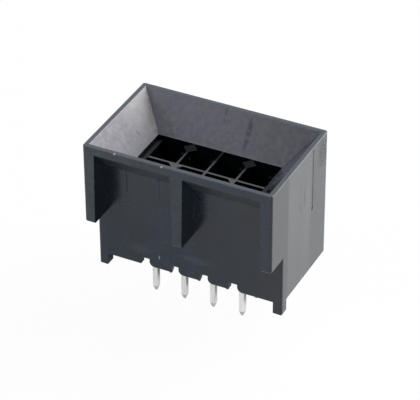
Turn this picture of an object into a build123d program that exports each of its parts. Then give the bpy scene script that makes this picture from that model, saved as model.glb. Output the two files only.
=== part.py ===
from build123d import *
from math import radians, tan
import os

os.makedirs("parts", exist_ok=True)

# Origin: centre of the terminal field, on the board that the housing stands on.
# +X runs along the rows, -Y is the face with the three ribs, +Z is the mating side.

# Terminal grid
columns = 4
pitch = 4.2
row_spacing = 4.2

# Outside of the moulding
rim_length = 26.3
rim_width = 16.6
rim_top = 20.6
standoff = 2.0
overhang = 3.35
rim_wall = 0.63
wall = 0.9

# Funnel, throat and terminal cells
funnel_drop = 4.35
mouth_length = 17.6
throat_drop = 0.85
cell = 3.9
floor_top = 5.2
key = 0.85

# Polarising fills: the rear corner that is filled in each cell of a row, from the -X end
front_row_keys = ["right", "left", "right", None]
back_row_keys = ["right", "left", "right", "left"]

# Ribs of the overhang, as thick as this under the band above their bays
rib_drop = 11.65
band = 1.1
end_rib = 1.6
middle_rib = 1.7
rib_draft = 1.1

# Vents and legs at the board
vent_height = 1.08
vent_left = 0.68
vent_right = 0.55
vent_round = 0.7
leg_length = 1.25
leg_width = 1.4
leg_chamfer = 0.3
rear_leg_inset = 2.4

# Broken edges of the moulding
corner_round = 0.3
rib_round = 0.3
rim_round = 0.07

# Terminals
pin = 1.07
pin_top = 12.8
pin_point = 1.3
pin_point_end = 0.5
shank_reach = 0.3
tail = 0.7
tail_length = 3.9
tail_point = 0.75
tail_point_end = 0.28

# How far a cut runs past the open side that it starts from
cut_margin = 1.0

# Places that follow from the sizes above
half_length = rim_length / 2
half_width = rim_width / 2
body_front = overhang - half_width
rib_bottom = rim_top - rib_drop
mouth_top = rim_top - funnel_drop
web_top = mouth_top - throat_drop
vent_top = standoff + vent_height
inside_rim_length = rim_length - 2 * rim_wall
inside_rim_width = rim_width - 2 * rim_wall
well_length = (columns - 1) * pitch + cell
mouth_width = row_spacing + cell
column_places = [(number - (columns - 1) / 2) * pitch for number in range(columns)]

# Run of the funnel's slopes, and how far their outer skin stands off level with them
side_run = (inside_rim_width - mouth_width) / 2
end_run = (inside_rim_length - mouth_length) / 2
side_skin = wall * (side_run**2 + funnel_drop**2) ** 0.5 / funnel_drop
end_skin = wall * (end_run**2 + funnel_drop**2) ** 0.5 / funnel_drop


def side_skin_height(distance):
    """Height of the long slopes' outer skin at a distance from the middle of the width."""
    return mouth_top + (distance - mouth_width / 2 - side_skin) * funnel_drop / side_run


def side_skin_distance(height):
    """Distance of the long slopes' outer skin from the middle of the width at a height."""
    return mouth_width / 2 + side_skin + (height - mouth_top) * side_run / funnel_drop


def end_skin_height(distance):
    """Height of the end slopes' outer skin at a distance from the middle of the length."""
    return mouth_top + (distance - mouth_length / 2 - end_skin) * funnel_drop / end_run


# Bays between the ribs: width under the band, width gained on each flank, and centre
bay_top = rim_top - band
bay_foot = rib_bottom - cut_margin
bay_length = half_length - end_rib - middle_rib / 2
bay_spread = (bay_top - bay_foot) * tan(radians(rib_draft))
bay_place = (bay_length + middle_rib) / 2

# Hollows that keep the moulding's walls even, open towards the board
end_hollow_inner = mouth_length / 2 + wall
end_hollow_outer = half_length - leg_length
end_hollow_front = body_front + leg_width
rear_hollow_inner = mouth_width / 2 + wall
rear_hollow_outer = half_width - leg_width
rear_hollow_spans = [
    (-end_hollow_outer, -end_hollow_inner),
    (-well_length / 2, -wall / 2),
    (wall / 2, well_length / 2),
    (end_hollow_inner, end_hollow_outer),
]

# Standoff legs: two on the front corners, two set in along the back
front_leg = (half_length - leg_length / 2, body_front + leg_width / 2)
rear_leg = (front_leg[0] - rear_leg_inset, half_width - leg_width / 2)
leg_places = [
    (-front_leg[0], front_leg[1]),
    front_leg,
    (-rear_leg[0], rear_leg[1]),
    rear_leg,
]

# Core of one bay, open to the front and below
with BuildPart() as bay:
    # Flanks drafted so that the ribs thin towards their feet
    with BuildSketch(Plane.XZ.offset(-body_front)):
        with BuildLine():
            Polyline(
                (-bay_length / 2, bay_top),
                (bay_length / 2, bay_top),
                (bay_length / 2 + bay_spread, bay_foot),
                (-bay_length / 2 - bay_spread, bay_foot),
                close=True,
            )
        make_face()
    extrude(amount=overhang + cut_margin)

    # Roof that follows the outer skin of the front slope
    with BuildSketch(Plane.YZ):
        with BuildLine():
            Polyline(
                (body_front, bay_top),
                (body_front, side_skin_height(-body_front)),
                (-side_skin_distance(bay_top), bay_top),
                close=True,
            )
        make_face()
    extrude(amount=bay_length, both=True, mode=Mode.SUBTRACT)

with BuildPart() as housing:
    # Body, flush with the rim at the back and at both ends
    with BuildSketch(Plane.XY.offset(standoff)):
        with Locations((0, overhang / 2)):
            Rectangle(rim_length, rim_width - overhang)
    extrude(amount=rim_top - standoff)

    # Overhang along the front, down to the foot of the ribs
    with BuildSketch(Plane.XY.offset(rib_bottom)):
        with Locations((0, (body_front - half_width) / 2)):
            Rectangle(rim_length, overhang)
    extrude(amount=rib_drop)

    # Legs that hold the body off the board
    with BuildSketch(Plane.XY):
        with Locations(*leg_places):
            Rectangle(leg_length, leg_width)
    extrude(amount=standoff)
    feet = housing.edges().group_by(Axis.Z)[0]
    chamfer(feet, leg_chamfer)

    # Rounded corners down the outside, and at the foot of the overhang's two ends
    corners = housing.edges().filter_by(Axis.Z).filter_by(lambda edge: edge.length > standoff)
    fillet(corners, corner_round)
    rib_ends = housing.edges().filter_by(Axis.Y).filter_by_position(
        Axis.Z, rib_bottom - 0.01, rib_bottom + 0.01
    )
    fillet(rib_ends, rib_round)

    # Bays, which leave the ribs standing at both ends and in the middle
    with Locations((-bay_place, 0), (bay_place, 0)):
        add(bay.part, mode=Mode.SUBTRACT)

    # Funnel: four flat slopes from the thin rim down to the mouth
    with BuildSketch(Plane.XY.offset(mouth_top)):
        Rectangle(mouth_length, mouth_width)
    with BuildSketch(Plane.XY.offset(rim_top)):
        Rectangle(inside_rim_length, inside_rim_width)
    loft(ruled=True, mode=Mode.SUBTRACT)

    # Straight throat down to the webs, its long walls flush with those of the cells
    with BuildSketch(Plane.XY.offset(web_top)):
        Rectangle(mouth_length, mouth_width)
    extrude(amount=throat_drop, mode=Mode.SUBTRACT)

    # Terminal cells, two rows of square wells
    with BuildSketch(Plane.XY.offset(floor_top)):
        with GridLocations(pitch, row_spacing, columns, 2):
            Rectangle(cell, cell)
    extrude(amount=web_top - floor_top, mode=Mode.SUBTRACT)

    # Polarising fills in the rear corners of some cells
    with BuildSketch(Plane.XY.offset(floor_top)):
        for row_y, row_keys in ((-row_spacing / 2, front_row_keys), (row_spacing / 2, back_row_keys)):
            for place, corner in zip(column_places, row_keys):
                if corner is None:
                    continue
                side = 1 if corner == "right" else -1
                corner_x = place + side * cell / 2
                corner_y = row_y + cell / 2
                with BuildLine():
                    Polyline(
                        (corner_x, corner_y),
                        (corner_x - side * key, corner_y),
                        (corner_x, corner_y - key),
                        close=True,
                    )
                make_face()
    extrude(amount=web_top - floor_top)

    # Shallow well under the floor, where the tails come out
    with BuildSketch(Plane.XY.offset(standoff)):
        Rectangle(well_length, mouth_width)
    extrude(amount=vent_height, mode=Mode.SUBTRACT)

    # Square holes that grip the terminals in the floor
    with BuildSketch(Plane.XY.offset(vent_top)):
        with GridLocations(pitch, row_spacing, columns, 2):
            Rectangle(pin, pin)
    extrude(amount=floor_top - vent_top, mode=Mode.SUBTRACT)

    # Hollows behind the end slopes
    for side in (-1, 1):
        with BuildSketch(Plane.XZ.offset(-mouth_width / 2)):
            with BuildLine():
                Polyline(
                    (side * end_hollow_inner, standoff),
                    (side * end_hollow_outer, standoff),
                    (side * end_hollow_outer, end_skin_height(end_hollow_outer)),
                    (side * end_hollow_inner, end_skin_height(end_hollow_inner)),
                    close=True,
                )
            make_face()
        extrude(amount=mouth_width / 2 - end_hollow_front, mode=Mode.SUBTRACT)

    # Hollows behind the rear slope
    for span_start, span_end in rear_hollow_spans:
        with BuildSketch(Plane.YZ.offset(span_start)):
            with BuildLine():
                Polyline(
                    (rear_hollow_inner, standoff),
                    (rear_hollow_outer, standoff),
                    (rear_hollow_outer, side_skin_height(rear_hollow_outer)),
                    (rear_hollow_inner, side_skin_height(rear_hollow_inner)),
                    close=True,
                )
            make_face()
        extrude(amount=span_end - span_start, mode=Mode.SUBTRACT)

    # Vents under each column, through the front and the back
    for place in column_places:
        with BuildSketch(Plane.XZ.offset(-half_width)):
            with BuildLine():
                Line((place - vent_left, standoff), (place - vent_left, vent_top))
                Line((place - vent_left, vent_top), (place + vent_right, vent_top))
                Line((place + vent_right, vent_top), (place + vent_right, standoff + vent_round))
                RadiusArc(
                    (place + vent_right, standoff + vent_round),
                    (place + vent_right + vent_round, standoff),
                    -vent_round,
                )
                Line((place + vent_right + vent_round, standoff), (place - vent_left, standoff))
            make_face()
        extrude(amount=rim_width, mode=Mode.SUBTRACT)

    # Softened edges round the rim
    rim_edges = housing.edges().group_by(Axis.Z)[-1]
    fillet(rim_edges, rim_round)

housing.part.label = "housing"
export_step(housing.part, "parts/housing.step")

# Terminals: a square pin held in the floor, stepped down to a thinner tail
shank_bottom = vent_top - shank_reach
for row_name, row_y in (("front", -row_spacing / 2), ("back", row_spacing / 2)):
    for number, place in enumerate(column_places, start=1):
        with BuildPart() as terminal:
            # Square shank, standing up through the floor
            with BuildSketch(Plane.XY.offset(shank_bottom)):
                with Locations((place, row_y)):
                    Rectangle(pin, pin)
            extrude(amount=pin_top - pin_point - shank_bottom)

            # Tapered mating point
            with BuildSketch(Plane.XY.offset(pin_top - pin_point)):
                with Locations((place, row_y)):
                    Rectangle(pin, pin)
            with BuildSketch(Plane.XY.offset(pin_top)):
                with Locations((place, row_y)):
                    Rectangle(pin_point_end, pin_point_end)
            loft(ruled=True)

            # Straight tail for the board
            with BuildSketch(Plane.XY.offset(tail_point - tail_length)):
                with Locations((place, row_y)):
                    Rectangle(tail, tail)
            extrude(amount=shank_bottom + tail_length - tail_point)

            # Pointed end of the tail
            with BuildSketch(Plane.XY.offset(tail_point - tail_length)):
                with Locations((place, row_y)):
                    Rectangle(tail, tail)
            with BuildSketch(Plane.XY.offset(-tail_length)):
                with Locations((place, row_y)):
                    Rectangle(tail_point_end, tail_point_end)
            loft(ruled=True)

        terminal.part.label = f"terminal_{row_name}_{number}"
        export_step(terminal.part, f"parts/terminal_{row_name}_{number}.step")
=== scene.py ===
import bpy
from math import radians
from mathutils import Matrix, Vector


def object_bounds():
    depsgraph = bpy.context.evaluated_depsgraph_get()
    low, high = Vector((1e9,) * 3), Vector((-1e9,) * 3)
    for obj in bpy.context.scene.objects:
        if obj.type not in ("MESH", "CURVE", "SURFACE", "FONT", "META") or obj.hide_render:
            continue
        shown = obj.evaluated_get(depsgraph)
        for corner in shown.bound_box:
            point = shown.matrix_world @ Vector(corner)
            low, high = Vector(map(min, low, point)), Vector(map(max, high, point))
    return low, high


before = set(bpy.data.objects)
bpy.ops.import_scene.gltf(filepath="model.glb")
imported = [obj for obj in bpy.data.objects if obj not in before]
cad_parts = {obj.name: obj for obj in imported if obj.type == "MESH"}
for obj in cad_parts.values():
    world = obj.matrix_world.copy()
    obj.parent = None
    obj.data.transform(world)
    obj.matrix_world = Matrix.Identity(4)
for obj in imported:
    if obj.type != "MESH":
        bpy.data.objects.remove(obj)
cad_low, cad_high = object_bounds()
bpy.ops.object.select_all(action="DESELECT")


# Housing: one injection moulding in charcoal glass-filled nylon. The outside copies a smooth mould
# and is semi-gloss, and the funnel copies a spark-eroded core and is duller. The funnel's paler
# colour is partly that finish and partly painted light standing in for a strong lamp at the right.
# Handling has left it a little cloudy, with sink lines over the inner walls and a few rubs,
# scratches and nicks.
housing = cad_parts["housing"]
charcoal = (0.006, 0.016, 0.030, 1)
charcoal_sides = (0.011, 0.016, 0.021, 1)
charcoal_front = (0.018, 0.030, 0.038, 1)
charcoal_end = (0.038, 0.042, 0.047, 1)
charcoal_funnel = (0.071, 0.070, 0.088, 1)
charcoal_painted_slope_shade = (0.030, 0.030, 0.038, 1)
charcoal_painted_light = (0.175, 0.160, 0.170, 1)
charcoal_painted_shade = (0.002, 0.003, 0.004, 1)
charcoal_rub_and_painted_light = (0.055, 0.060, 0.067, 1)
charcoal_deep = (0.003, 0.004, 0.005, 1)
charcoal_nick = (0.30, 0.31, 0.33, 1)
teal = (0.93, 1.02, 1.02, 1)
lilac = (1.03, 0.98, 1.04, 1)
outside_roughness = 0.22
funnel_roughness = 0.52
polished_roughness = 0.28
cells_roughness = 0.12
worn_roughness = 0.55
mark_roughness = 0.95
nylon_ior = 1.52

# Faces and edges of the moulding, in millimetres
rim_top = 20.6
rim_front = -8.3
rim_back = 8.3
end_face = 13.15
wall_front = -4.95
wall_end = 13.1
under_band_across = (-8.28, -4.85)
under_band_foot = 14.0
slopes_along = 12.47
slopes_across = 7.62
slopes_foot = 16.28
mouth_along = 8.82
mouth_across = 4.07
mouth_head = 16.24
web_top = 15.4
skin = 0.05
end_skin = 0.03
web_skin = 0.1

# Where tones begin and end along, across or up the moulding, in millimetres
painted_light_front_along = (9.0, -12.0)
end_pale = (-3.0, 3.0, 0.7)
end_pale_rise = (2.0, 14.0)
end_dark = (-3.3, -3.8)
painted_light_corner_across = (-1.0, 4.5)
back_shade_across = (3.5, 4.5)
back_shade_along = (-2.0, 12.0)
front_shade_across = (-2.5, -5.5)
web_light_across = (1.0, 2.6, 0.4)
web_light_end = (8.15, 8.0)
ledge_start = (8.20, 8.28)
far_wall_along = (-1.0, 12.0)


def add_node(tree, kind, *inputs, **settings):
    """Add a node with its settings, and give each input in turn a link or a value."""
    node = tree.nodes.new(kind)
    for setting, value in settings.items():
        setattr(node, setting, value)
    for socket, value in zip(node.inputs, inputs):
        if isinstance(value, bpy.types.NodeSocket):
            tree.links.new(value, socket)
        elif value is not None:
            socket.default_value = value
    return node


def calculate(tree, operation, *values):
    """Output of a Math node over the values given."""
    return add_node(tree, "ShaderNodeMath", *values, operation=operation).outputs[0]


def calculate_vector(tree, operation, *values):
    """Output of a Vector Math node over the values given."""
    return add_node(tree, "ShaderNodeVectorMath", *values, operation=operation).outputs[0]


def multiply_vector(tree, vector, factor):
    """Vector or colour times a factor."""
    return calculate_vector(tree, "SCALE", vector, None, None, factor)


def place_in_mm(tree):
    """Object coordinates in millimetres."""
    metres = add_node(tree, "ShaderNodeTexCoord").outputs["Object"]
    return multiply_vector(tree, metres, 1000)


def above(tree, value, limit):
    """Mask that is 1 where the value is over the limit."""
    return calculate(tree, "GREATER_THAN", value, limit)


def below(tree, value, limit):
    """Mask that is 1 where the value is under the limit."""
    return calculate(tree, "LESS_THAN", value, limit)


def ramp(tree, value, start, finish, low=0.0, high=1.0):
    """Smooth change from low to high while the value goes from start to finish."""
    inputs = (value, start, finish, low, high)
    return add_node(
        tree, "ShaderNodeMapRange", *inputs, interpolation_type="SMOOTHSTEP"
    ).outputs[0]


def overlap(tree, *masks):
    """Where all the masks are, as their product."""
    shared = masks[0]
    for mask in masks[1:]:
        shared = calculate(tree, "MULTIPLY", shared, mask)
    return shared


def join(tree, *masks):
    """Where any of the masks is, as the largest of them."""
    largest = masks[0]
    for mask in masks[1:]:
        largest = calculate(tree, "MAXIMUM", largest, mask)
    return largest


def between(tree, value, low, high, soft=0.02):
    """Mask that is 1 from low to high and fades to 0 over a soft width outside them."""
    return overlap(tree, ramp(tree, value, low - soft, low), ramp(tree, value, high + soft, high))


def patch(tree, place, centre, reach):
    """Soft round mask about a centre, with its own reach along each axis."""
    core = 0.35
    offset = calculate_vector(tree, "SUBTRACT", place, centre)
    scaled = calculate_vector(tree, "DIVIDE", offset, reach)
    length = add_node(tree, "ShaderNodeVectorMath", scaled, operation="LENGTH").outputs["Value"]
    return ramp(tree, length, 1.0, core)


def vary(tree, noise, low, high):
    """Smooth change from low to high over the spread that a noise usually has."""
    noise_low = 0.3
    noise_high = 0.7
    return ramp(tree, noise, noise_low, noise_high, low, high)


def blend(tree, mask, under, over):
    """Colour that goes from under to over as the mask goes from 0 to 1."""
    inputs = (mask, None, None, None, None, None, under, over)
    return add_node(tree, "ShaderNodeMix", *inputs, data_type="RGBA").outputs[2]


def mix_numbers(tree, mask, under, over):
    """Number that goes from under to over as the mask goes from 0 to 1."""
    return add_node(tree, "ShaderNodeMix", mask, None, under, over).outputs[0]


def start_group(name, numbers, outputs):
    """New node group with number inputs and their defaults, and number outputs."""
    group = bpy.data.node_groups.new(name, "ShaderNodeTree")
    for label, default in numbers:
        socket = group.interface.new_socket(label, in_out="INPUT", socket_type="NodeSocketFloat")
        socket.default_value = default
    for label in outputs:
        group.interface.new_socket(label, in_out="OUTPUT", socket_type="NodeSocketFloat")
    return group, group.nodes.new("NodeGroupInput"), group.nodes.new("NodeGroupOutput")


def add_group(tree, group, **numbers):
    """Place a node group in a material with its own values, named in lower case."""
    node = tree.nodes.new("ShaderNodeGroup")
    node.node_tree = group
    for label, value in numbers.items():
        node.inputs[label.capitalize()].default_value = value
    return node


# Grain: a fine tooth, broader clouds, and streaks along Z, each with its scale per millimetre
streak_squash = (1, 1, 0.06)
fine_detail = 2.0
broad_detail = 3.0
grain, given, result = start_group(
    "grain", [("Tooth", 9.0), ("Clouds", 0.35), ("Streaks", 1.6)], ["Tooth", "Clouds", "Streaks"]
)
place = place_in_mm(grain)
upright = calculate_vector(grain, "MULTIPLY", place, streak_squash)
for label, start, detail in [
    ("Tooth", place, fine_detail),
    ("Clouds", place, broad_detail),
    ("Streaks", upright, fine_detail),
]:
    noise = add_node(grain, "ShaderNodeTexNoise", start, None, given.outputs[label], detail)
    grain.links.new(noise.outputs[0], result.inputs[label])

# Mask of the outer edges, in metres wide, broken up so that it comes and goes. On the nylon it
# carries wear and a painted highlight along the edges, and on the tin a painted dark reflection
flat_match = 0.99
edge_match = 0.82
edge_mask, given, result = start_group("edge mask", [("Width", 0.00012), ("Break", 1.2)], ["Mask"])
rounded = add_node(edge_mask, "ShaderNodeBevel", given.outputs["Width"], samples=6).outputs[0]
facing = add_node(edge_mask, "ShaderNodeNewGeometry").outputs["True Normal"]
match = add_node(edge_mask, "ShaderNodeVectorMath", rounded, facing, operation="DOT_PRODUCT")
turned_away = ramp(edge_mask, match.outputs["Value"], flat_match, edge_match)
place = place_in_mm(edge_mask)
noise = add_node(
    edge_mask, "ShaderNodeTexNoise", place, None, given.outputs["Break"], broad_detail
)
broken = ramp(edge_mask, noise.outputs[0], 0.42, 0.68)
edge_mask.links.new(overlap(edge_mask, turned_away, broken), result.inputs["Mask"])

nylon = bpy.data.materials.new("charcoal nylon")
nylon.use_nodes = True
tree = nylon.node_tree
surface = tree.nodes["Principled BSDF"]
surface.inputs["IOR"].default_value = nylon_ior
place = place_in_mm(tree)
along, across, height = add_node(tree, "ShaderNodeSeparateXYZ", place).outputs
out_along = calculate(tree, "ABSOLUTE", along)
out_across = calculate(tree, "ABSOLUTE", across)
nylon_grain = add_group(tree, grain, tooth=9.0, clouds=0.35, streaks=1.6).outputs
nylon_mottle = add_group(tree, grain, tooth=1.7, clouds=0.16, streaks=0.8).outputs
nylon_worn_lit_edges = add_group(tree, edge_mask).outputs["Mask"]

# Which way the faces are turned
turned = 0.3
facing = add_node(tree, "ShaderNodeNewGeometry").outputs["True Normal"]
facing = add_node(tree, "ShaderNodeSeparateXYZ", facing).outputs
faces_right = above(tree, facing["X"], turned)
faces_left = below(tree, facing["X"], -turned)
faces_up = above(tree, facing["Z"], turned)
faces_down = below(tree, facing["Z"], -turned)
level = ramp(tree, facing["Z"], 0.85, 0.95)

# The parts of the moulding
on_slopes = overlap(
    tree,
    below(tree, out_along, slopes_along),
    below(tree, out_across, slopes_across),
    above(tree, height, slopes_foot),
    faces_up,
)
left_slope = overlap(tree, on_slopes, faces_right)
right_slope = overlap(tree, on_slopes, faces_left)
in_mouth = overlap(
    tree,
    below(tree, out_along, mouth_along),
    below(tree, out_across, mouth_across),
    below(tree, height, mouth_head),
)
level_in_mouth = overlap(tree, in_mouth, level)
on_webs = overlap(
    tree, level_in_mouth, between(tree, height, web_top - web_skin, web_top + web_skin)
)
ledge = overlap(tree, level_in_mouth, ramp(tree, out_along, *ledge_start))
on_front = between(tree, across, rim_front - skin, rim_front + skin)
on_back = above(tree, across, rim_back - skin)
on_ends = above(tree, out_along, end_face - end_skin)
on_wall = overlap(
    tree,
    between(tree, across, wall_front - skin, wall_front + skin),
    below(tree, out_along, wall_end),
)
under_band = overlap(
    tree,
    faces_down,
    between(tree, across, *under_band_across),
    above(tree, height, under_band_foot),
)

# The charcoal of each part, with its paler and darker places
# Painted shade: the back slope darker towards +X, away from the fill lamp's reflection
painted_shade_back_slope = overlap(
    tree, ramp(tree, across, *back_shade_across), ramp(tree, along, *back_shade_along)
)
# Painted shadow: the front corner of the right slope, shaded by the front rim
painted_shadow_front_corner = overlap(tree, right_slope, ramp(tree, across, *front_shade_across))
# Painted light: the left slope paler towards the back corner, where the back wall blocks the key
# lamp
painted_light_back_corner = overlap(tree, left_slope, ramp(tree, across, *painted_light_corner_across))
# Painted light: the front faces of the band and ribs paler towards the left, mirroring brighter
# table
painted_light_front = overlap(tree, on_front, ramp(tree, along, *painted_light_front_along))
pale_end = overlap(
    tree, on_ends, between(tree, across, *end_pale), ramp(tree, height, *end_pale_rise, 0.5, 1.0)
)
# Painted light: a paler band across the web tops, lit up to where the back wall shades them
painted_light_web_tops = overlap(
    tree, on_webs, ramp(tree, out_along, *web_light_end), between(tree, across, *web_light_across)
)
far_wall = overlap(tree, on_wall, ramp(tree, along, *far_wall_along, 0.0, 0.6))
end_strip = overlap(tree, on_ends, ramp(tree, across, *end_dark, 0.0, 0.6))
# The funnel's paler charcoal is partly its core finish and partly painted light from the right
funnel = blend(tree, painted_shade_back_slope, charcoal_funnel, charcoal_painted_slope_shade)
# Painted shade: blotchy dark on the roof under the band, where the overhang shades it
painted_shade_under_band = blend(
    tree, ramp(tree, nylon_mottle["Tooth"], 0.2, 0.8), charcoal_painted_shade, charcoal_front
)
colour = charcoal
# The mouth, its cells and webs, is near-black: painted shade in the deep cavity
for mask, over in [
    (join(tree, on_ends, on_back), charcoal_sides),
    (on_slopes, blend(tree, painted_shadow_front_corner, funnel, charcoal_deep)),
    (in_mouth, charcoal_painted_shade),
    (under_band, painted_shade_under_band),
    (painted_light_front, charcoal_front),
    (pale_end, charcoal_end),
    (painted_light_back_corner, charcoal_painted_light),
    (painted_light_web_tops, charcoal_rub_and_painted_light),
    (join(tree, far_wall, end_strip), charcoal_deep),
]:
    colour = blend(tree, mask, colour, over)

# Clouds, mottle and streaks in the tone, and a drift between teal and lilac
tone = overlap(
    tree,
    vary(tree, nylon_grain["Clouds"], 0.84, 1.16),
    vary(tree, nylon_mottle["Tooth"], 0.87, 1.13),
    vary(tree, nylon_mottle["Streaks"], 0.88, 1.12),
)
tint = blend(tree, vary(tree, nylon_mottle["Clouds"], 0.0, 1.0), teal, lilac)
colour = multiply_vector(tree, colour, tone)
colour = calculate_vector(tree, "MULTIPLY", colour, tint)

# Sink lines over the walls inside, and the fine line up the ends
web_line = 4.15
end_web_line = 8.78
near_web = calculate(tree, "SUBTRACT", out_along, web_line)
near_web = calculate(tree, "ABSOLUTE", near_web)
near_end_web = calculate(tree, "SUBTRACT", out_along, end_web_line)
near_end_web = calculate(tree, "ABSOLUTE", near_end_web)
sink = overlap(
    tree,
    on_wall,
    ramp(tree, calculate(tree, "MINIMUM", near_web, near_end_web), 0.12, 0.03),
    between(tree, height, 13.5, 15.6, 1.5),
    ramp(tree, along, 9.0, -9.0, 0.1, 0.6),
)
end_line = overlap(
    tree, on_ends, between(tree, across, 3.87, 3.99, 0.08), between(tree, height, 11.4, 20.4, 0.1)
)

# Dark marks: flecks behind the fine line, a smudge in the middle of the end, the dot that ends the
# line, two smears on the back slope, and a scratch on the left slope
flecks = overlap(tree, on_ends, ramp(tree, nylon_grain["Tooth"], 0.50, 0.60, 0.0, 0.9))
smudge = ramp(tree, nylon_grain["Streaks"], 0.45, 0.65, 0.0, 0.4)
long_smear = ramp(tree, nylon_mottle["Tooth"], 0.2, 0.7, 0.0, 0.40)
short_smear = ramp(tree, nylon_mottle["Tooth"], 0.2, 0.7, 0.0, 0.30)
scratch = ramp(tree, nylon_grain["Tooth"], 0.45, 0.55)
dark_marks = join(tree, sink, end_line)
for mask, centre, reach in [
    (flecks, (end_face, 6.8, 18.4), (0.3, 2.0, 3.0)),
    (smudge, (end_face, 0.8, 14.6), (0.3, 1.4, 2.8)),
    (on_ends, (end_face, 3.93, 11.45), (0.5, 0.36, 0.5)),
    (long_smear, (3.1, 6.0, 18.6), (0.5, 3.2, 3.2)),
    (short_smear, (-0.6, 7.0, 19.8), (0.3, 1.8, 1.8)),
    (scratch, (-10.2, 0.9, 17.9), (0.6, 0.13, 0.7)),
]:
    dark_marks = join(tree, dark_marks, overlap(tree, mask, patch(tree, place, centre, reach)))
colour = blend(tree, dark_marks, colour, charcoal_deep)

# Worn edges outside the mouth, paler partly as a painted highlight along them, and rubs low on the
# front and at the right rib's foot
edge_wear_and_highlight = 0.5
outside_mouth = calculate(tree, "SUBTRACT", 1.0, in_mouth)
scuffs = ramp(tree, nylon_grain["Tooth"], 0.35, 0.65, 0.1, 0.5)
rubs_and_painted_highlight = overlap(tree, nylon_worn_lit_edges, outside_mouth, edge_wear_and_highlight)
for centre, reach in [
    ((-7.1, wall_front, 4.3), (2.2, 0.2, 1.0)),
    ((1.2, wall_front, 5.0), (3.2, 0.2, 0.8)),
    ((12.2, rim_front, 9.1), (0.9, 0.3, 0.35)),
]:
    rubs_and_painted_highlight = join(tree, rubs_and_painted_highlight, overlap(tree, patch(tree, place, centre, reach), scuffs))
colour = blend(tree, rubs_and_painted_highlight, colour, charcoal_rub_and_painted_light)

# Bright nicks: two in the rim, and one above the second vent
nicks = join(
    tree,
    patch(tree, place, (-8.6, rim_front, rim_top), (0.22, 0.3, 0.3)),
    patch(tree, place, (-2.0, rim_front, rim_top), (0.2, 0.3, 0.25)),
    patch(tree, place, (-4.3, wall_front, 3.8), (0.16, 0.2, 0.38)),
)
colour = blend(tree, nicks, colour, charcoal_nick)
tree.links.new(colour, surface.inputs["Base Color"])

# Roughness: smooth outside, smoother in the cells, duller in the funnel apart from its polished
# slope at +X, duller under the band, and dullest in the marks
finish = outside_roughness
for mask, over in [
    (on_slopes, funnel_roughness),
    (right_slope, polished_roughness),
    (under_band, funnel_roughness),
    (in_mouth, cells_roughness),
    (ledge, mark_roughness),
]:
    finish = mix_numbers(tree, mask, finish, over)
finish = calculate(tree, "ADD", finish, vary(tree, nylon_grain["Clouds"], -0.02, 0.03))
eroded = vary(tree, nylon_mottle["Tooth"], -0.06, 0.06)
finish = calculate(tree, "MULTIPLY_ADD", on_slopes, eroded, finish)
finish = mix_numbers(tree, rubs_and_painted_highlight, finish, worn_roughness)
finish = mix_numbers(tree, dark_marks, finish, mark_roughness)
tree.links.new(finish, surface.inputs["Roughness"])

# Relief: the tooth of the mould, the flow streaks, and the marks a little sunk
tooth_height = 0.25
mark_depth = -0.4
relief_strength = 0.25
relief_metres = 0.00002
relief = calculate(
    tree, "MULTIPLY_ADD", nylon_grain["Tooth"], tooth_height, nylon_grain["Streaks"]
)
relief = calculate(tree, "MULTIPLY_ADD", dark_marks, mark_depth, relief)
bump = add_node(tree, "ShaderNodeBump", relief_strength, relief_metres)
tree.links.new(relief, bump.inputs["Height"])
tree.links.new(bump.outputs[0], surface.inputs["Normal"])

housing.data.materials.clear()
housing.data.materials.append(nylon)


# Terminals: eight square pins of copper alloy, tin plated, pressed down through the floor. The
# mating ends stand in the cells, and the thinner tails go straight down through the board. The
# edges and the tails' tips are darker: painted dark reflection along the rounded edges, and painted
# shade on the down-facing tips.
tin_colour = (0.93, 0.94, 0.91, 1)
tin_dull = (0.80, 0.81, 0.78, 1)
tin_painted_dark = (0.36, 0.36, 0.36, 1)
painted_dark_share = 0.8
tin_relief_strength = 0.3
tin_relief_metres = 0.00001

tin = bpy.data.materials.new("matt tin plate")
tin.use_nodes = True
tree = tin.node_tree
surface = tree.nodes["Principled BSDF"]
surface.inputs["Metallic"].default_value = 1
tin_grain = add_group(tree, grain, tooth=14.0, clouds=0.9, streaks=5.0).outputs
tin_dark_edges = add_group(tree, edge_mask).outputs["Mask"]
facing = add_node(tree, "ShaderNodeNewGeometry").outputs["True Normal"]
lean = add_node(tree, "ShaderNodeSeparateXYZ", facing).outputs["Z"]
# Painted shade on the down-facing tips, and painted dark reflection along the edges
painted_shade_points = ramp(tree, lean, -0.1, -0.4, 0.0, painted_dark_share)
painted_dark_edges_and_points = join(tree, overlap(tree, tin_dark_edges, painted_dark_share), painted_shade_points)
shade = blend(tree, ramp(tree, tin_grain["Streaks"], 0.35, 0.7), tin_colour, tin_dull)
shade = blend(tree, painted_dark_edges_and_points, shade, tin_painted_dark)
tree.links.new(shade, surface.inputs["Base Color"])
tree.links.new(vary(tree, tin_grain["Clouds"], 0.28, 0.42), surface.inputs["Roughness"])
bump = add_node(tree, "ShaderNodeBump", tin_relief_strength, tin_relief_metres)
tree.links.new(tin_grain["Streaks"], bump.inputs["Height"])
tree.links.new(bump.outputs[0], surface.inputs["Normal"])

for name in sorted(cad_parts):
    if name.startswith("terminal"):
        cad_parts[name].data.materials.clear()
        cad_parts[name].data.materials.append(tin)


# Table and surroundings: a plain white table under a pale studio. The camera sees it white, and
# what the nylon and tin mirror is the same table, with the shaded place under the part left dark.
table_size = 3
table_colour = (0.70, 0.70, 0.70, 1)
table_roughness = 0.2
white = (1, 1, 1, 1)
black = (0, 0, 0, 1)
white_to_camera = 0.965
white_to_mirrors = 0.45
shade_to_mirrors = 0.8
shaded_along = (-11.0, 11.0, 2.0)
shaded_across = (1.5, 7.0, 2.0)
studio_light = 0.04
studio_white = 1.0

bpy.ops.mesh.primitive_plane_add(size=table_size, location=(0, 0, cad_low.z))
table = bpy.context.object
table.name = "table"

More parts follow.
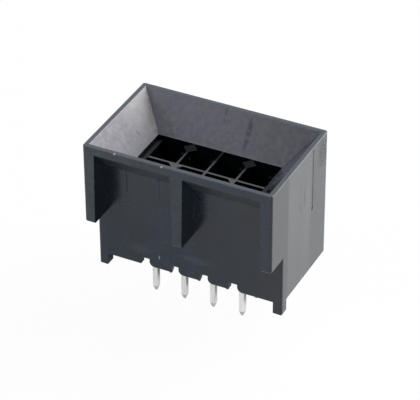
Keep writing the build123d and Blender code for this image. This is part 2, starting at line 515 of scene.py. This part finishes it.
table_finish = bpy.data.materials.new("white table")
table_finish.use_nodes = True
tree = table_finish.node_tree
tree.nodes.clear()
place = add_node(tree, "ShaderNodeSeparateXYZ", place_in_mm(tree)).outputs
under_part = overlap(
    tree, between(tree, place["X"], *shaded_along), between(tree, place["Y"], *shaded_across)
)
open_table = calculate(tree, "SUBTRACT", 1.0, under_part)
ray = add_node(tree, "ShaderNodeLightPath").outputs
mirrored = join(tree, ray["Is Glossy Ray"], ray["Is Transmission Ray"])
seen_white = join(
    tree,
    overlap(tree, ray["Is Camera Ray"], white_to_camera),
    overlap(tree, mirrored, open_table, white_to_mirrors),
)
seen_dark = overlap(tree, mirrored, under_part, shade_to_mirrors)
lit = add_node(tree, "ShaderNodeBsdfPrincipled")
lit.inputs["Base Color"].default_value = table_colour
lit.inputs["Roughness"].default_value = table_roughness
shown = lit.outputs[0]
for mask, emitted, strength in [(seen_white, white, 1), (seen_dark, black, 0)]:
    over = add_node(tree, "ShaderNodeEmission", emitted, strength).outputs[0]
    shown = add_node(tree, "ShaderNodeMixShader", mask, shown, over).outputs[0]
add_node(tree, "ShaderNodeOutputMaterial", shown)
table.data.materials.append(table_finish)

world = bpy.data.worlds.new("studio")
bpy.context.scene.world = world
world.use_nodes = True
tree = world.node_tree
background = tree.nodes["Background"]
background.inputs["Color"].default_value = white
ray = add_node(tree, "ShaderNodeLightPath").outputs
seen = join(tree, ray["Is Camera Ray"], ray["Is Glossy Ray"], ray["Is Transmission Ray"])
brightness = ramp(tree, seen, 0.0, 1.0, studio_light, studio_white)
tree.links.new(brightness, background.inputs["Strength"])

# Lamps: name, size in metres, watts, place and colour, each turned towards the origin
for name, size, power, place, colour in [
    ("key", 0.36, 3.2, (0.21, 0.23, 0.17), (1, 1, 1)),
    ("fill", 0.20, 0.40, (-0.15, -0.30, 0.23), (0.94, 0.94, 1)),
    ("side", 0.20, 0.56, (-0.30, -0.18, 0.16), (0.86, 0.92, 1)),
    ("top", 0.22, 0.079, (-0.155, 0.302, 0.244), (0.96, 0.97, 1)),
]:
    lamp = bpy.data.lights.new(name, "AREA")
    lamp.shape = "SQUARE"
    lamp.size = size
    lamp.energy = power
    lamp.color = colour
    stand = bpy.data.objects.new(name, lamp)
    bpy.context.scene.collection.objects.link(stand)
    stand.location = place
    stand.rotation_euler = Vector(place).to_track_quat("Z", "Y").to_euler()
    stand.visible_camera = False


# Camera: where the photograph was taken from, in front, to the right and above. It is fitted to
# the edges of the rim, the ribs and the tails.
azimuth = radians(26.52)
elevation = radians(34.85)
roll = radians(-0.24)
distance = 0.29198
aim = Vector((0.00063, -0.0001, 0.01133))
lens = 195.54
sensor_width = 36
nearest = 0.01

camera_data = bpy.data.cameras.new("camera")
camera_data.lens = lens
camera_data.sensor_width = sensor_width
camera_data.clip_start = nearest
camera = bpy.data.objects.new("camera", camera_data)
bpy.context.scene.collection.objects.link(camera)
turn = (
    Matrix.Rotation(azimuth, 4, "Z")
    @ Matrix.Rotation(radians(90) - elevation, 4, "X")
    @ Matrix.Rotation(roll, 4, "Z")
)
camera.matrix_world = Matrix.Translation(aim + turn.to_3x3() @ Vector((0, 0, distance))) @ turn
bpy.context.scene.camera = camera
bpy.context.scene.view_settings.view_transform = "Standard"
